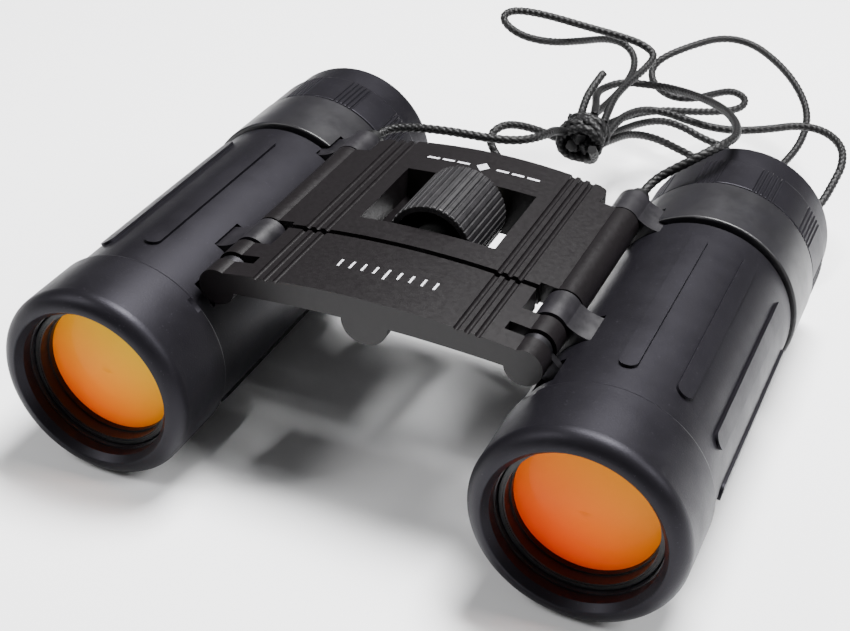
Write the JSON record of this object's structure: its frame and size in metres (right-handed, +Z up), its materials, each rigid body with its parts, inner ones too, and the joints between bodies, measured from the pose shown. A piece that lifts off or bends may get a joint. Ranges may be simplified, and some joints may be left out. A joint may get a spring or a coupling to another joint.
{
  "type": "compact binoculars",
  "caption": "Compact double-hinge roof-prism binoculars with rubber-armoured barrels, arched sliding focus bridge, ridged centre wheel, amber lenses and a braided neck cord.",
  "frame": {"origin": "on the table, under the middle of the opened binoculars without their cord", "axes": "+Z up; +Y from the objectives towards the eyes, along both barrels; +X to the right barrel, the one with the diopter ring"},
  "size_m": [0.1122, 0.1725, 0.0385],
  "materials": {
    "bridge_plastic": "fine textured black ABS",
    "shell_plastic": "satin black ABS",
    "sleeve_plastic": "satin black ABS",
    "inner_plastic": "matt black",
    "armour_rubber": "satin black rubber",
    "eyecup_rubber": "satin black rubber",
    "wheel_rubber": "ridged black rubber",
    "black_metal": "matt black anodised",
    "steel": "bright steel",
    "nylon": "natural nylon",
    "amber_glass": "amber anti-reflection coating",
    "coated_glass": "violet anti-reflection coating",
    "clear_glass": "clear optical glass",
    "cord": "braided black nylon"
  },
  "bodies": {
    "bridge": {"rear_bridge_plate": "bridge_plastic", "hinge_rod_left": "steel", "hinge_rod_right": "steel", "strap_socket_left": "black_metal", "strap_socket_right": "black_metal", "thrust_washers": "nylon", "neck_cord_knot": "cord", "neck_cord_left": "cord", "neck_cord_right": "cord", "neck_cord_upper_loop": "cord", "neck_cord_far_loop": "cord", "neck_cord_low_loop": "cord", "neck_cord_front_tail": "cord", "neck_cord_rear_tail": "cord"},
    "front_bridge": {"front_bridge_plate": "bridge_plastic", "focus_screw": "steel", "focus_screw_pin": "steel"},
    "focus_wheel": {"focus_wheel_grip": "wheel_rubber", "focus_nut": "inner_plastic"},
    "left_barrel": {"barrel_shell_left": "shell_plastic", "armour_sleeve_left": "armour_rubber", "front_cap_left": "armour_rubber", "rear_sleeve_left": "sleeve_plastic", "half_prism_left": "clear_glass", "roof_prism_left": "clear_glass", "prism_cage_left": "inner_plastic", "prism_clip_left": "steel", "field_stop_left": "inner_plastic", "ocular_tube_left": "sleeve_plastic", "field_lens_left": "clear_glass", "eye_lens_left": "coated_glass", "eyepiece_ring_left": "sleeve_plastic", "eyecup_left": "eyecup_rubber"},
    "right_barrel": {"barrel_shell_right": "shell_plastic", "armour_sleeve_right": "armour_rubber", "front_cap_right": "armour_rubber", "rear_sleeve_right": "sleeve_plastic", "half_prism_right": "clear_glass", "roof_prism_right": "clear_glass", "prism_cage_right": "inner_plastic", "prism_clip_right": "steel", "field_stop_right": "inner_plastic"},
    "left_objective": {"objective_cell_left": "black_metal", "objective_arm_left": "steel", "objective_retainer_left": "black_metal", "objective_crown_left": "amber_glass", "objective_flint_left": "clear_glass"},
    "right_objective": {"objective_cell_right": "black_metal", "objective_arm_right": "steel", "objective_retainer_right": "black_metal", "objective_crown_right": "amber_glass", "objective_flint_right": "clear_glass"},
    "right_ocular": {"ocular_tube_right": "sleeve_plastic", "field_lens_right": "clear_glass", "eye_lens_right": "coated_glass"},
    "diopter_ring": {"eyepiece_ring_right": "sleeve_plastic", "eyecup_right": "eyecup_rubber"}
  },
  "joints": [
    {"name": "focus_slide", "type": "slide", "parent": "bridge", "child": "front_bridge", "axis": [0, -1, 0], "range_m": [-0.0005, 0.003]},
    {"name": "focus_wheel_turn", "type": "hinge", "parent": "bridge", "child": "focus_wheel", "pos_m": [0, 0.00005, 0.03112], "axis": [0, 1, 0], "range_deg": [-45.5, 270.5]},
    {"name": "left_barrel_fold", "type": "hinge", "parent": "bridge", "child": "left_barrel", "pos_m": [-0.0253, 0, 0.03022], "axis": [0, -1, 0], "range_deg": [0, 69]},
    {"name": "right_barrel_fold", "type": "hinge", "parent": "bridge", "child": "right_barrel", "pos_m": [0.0253, 0, 0.03022], "axis": [0, 1, 0], "range_deg": [0, 69]},
    {"name": "left_objective_slide", "type": "slide", "parent": "left_barrel", "child": "left_objective", "axis": [0, -1, 0], "range_m": [-0.00051, 0.00301]},
    {"name": "right_objective_slide", "type": "slide", "parent": "right_barrel", "child": "right_objective", "axis": [0, -1, 0], "range_m": [-0.00051, 0.00301]},
    {"name": "right_ocular_slide", "type": "slide", "parent": "right_barrel", "child": "right_ocular", "axis": [0, 1, 0], "range_m": [-0.001, 0.001]},
    {"name": "diopter_turn", "type": "hinge", "parent": "right_barrel", "child": "diopter_ring", "pos_m": [0.03946, 0.03705, 0.0166], "axis": [0, 1, 0], "range_deg": [-60.5, 60.5]}
  ],
  "couplings": [
    {"joint": "focus_wheel_turn", "follows": "focus_slide", "rad_per_m": 1570.8},
    {"joint": "left_objective_slide", "follows": "focus_slide", "ratio": 1},
    {"joint": "right_objective_slide", "follows": "focus_slide", "ratio": 1},
    {"joint": "diopter_turn", "follows": "right_ocular_slide", "rad_per_m": 1047.2}
  ]
}
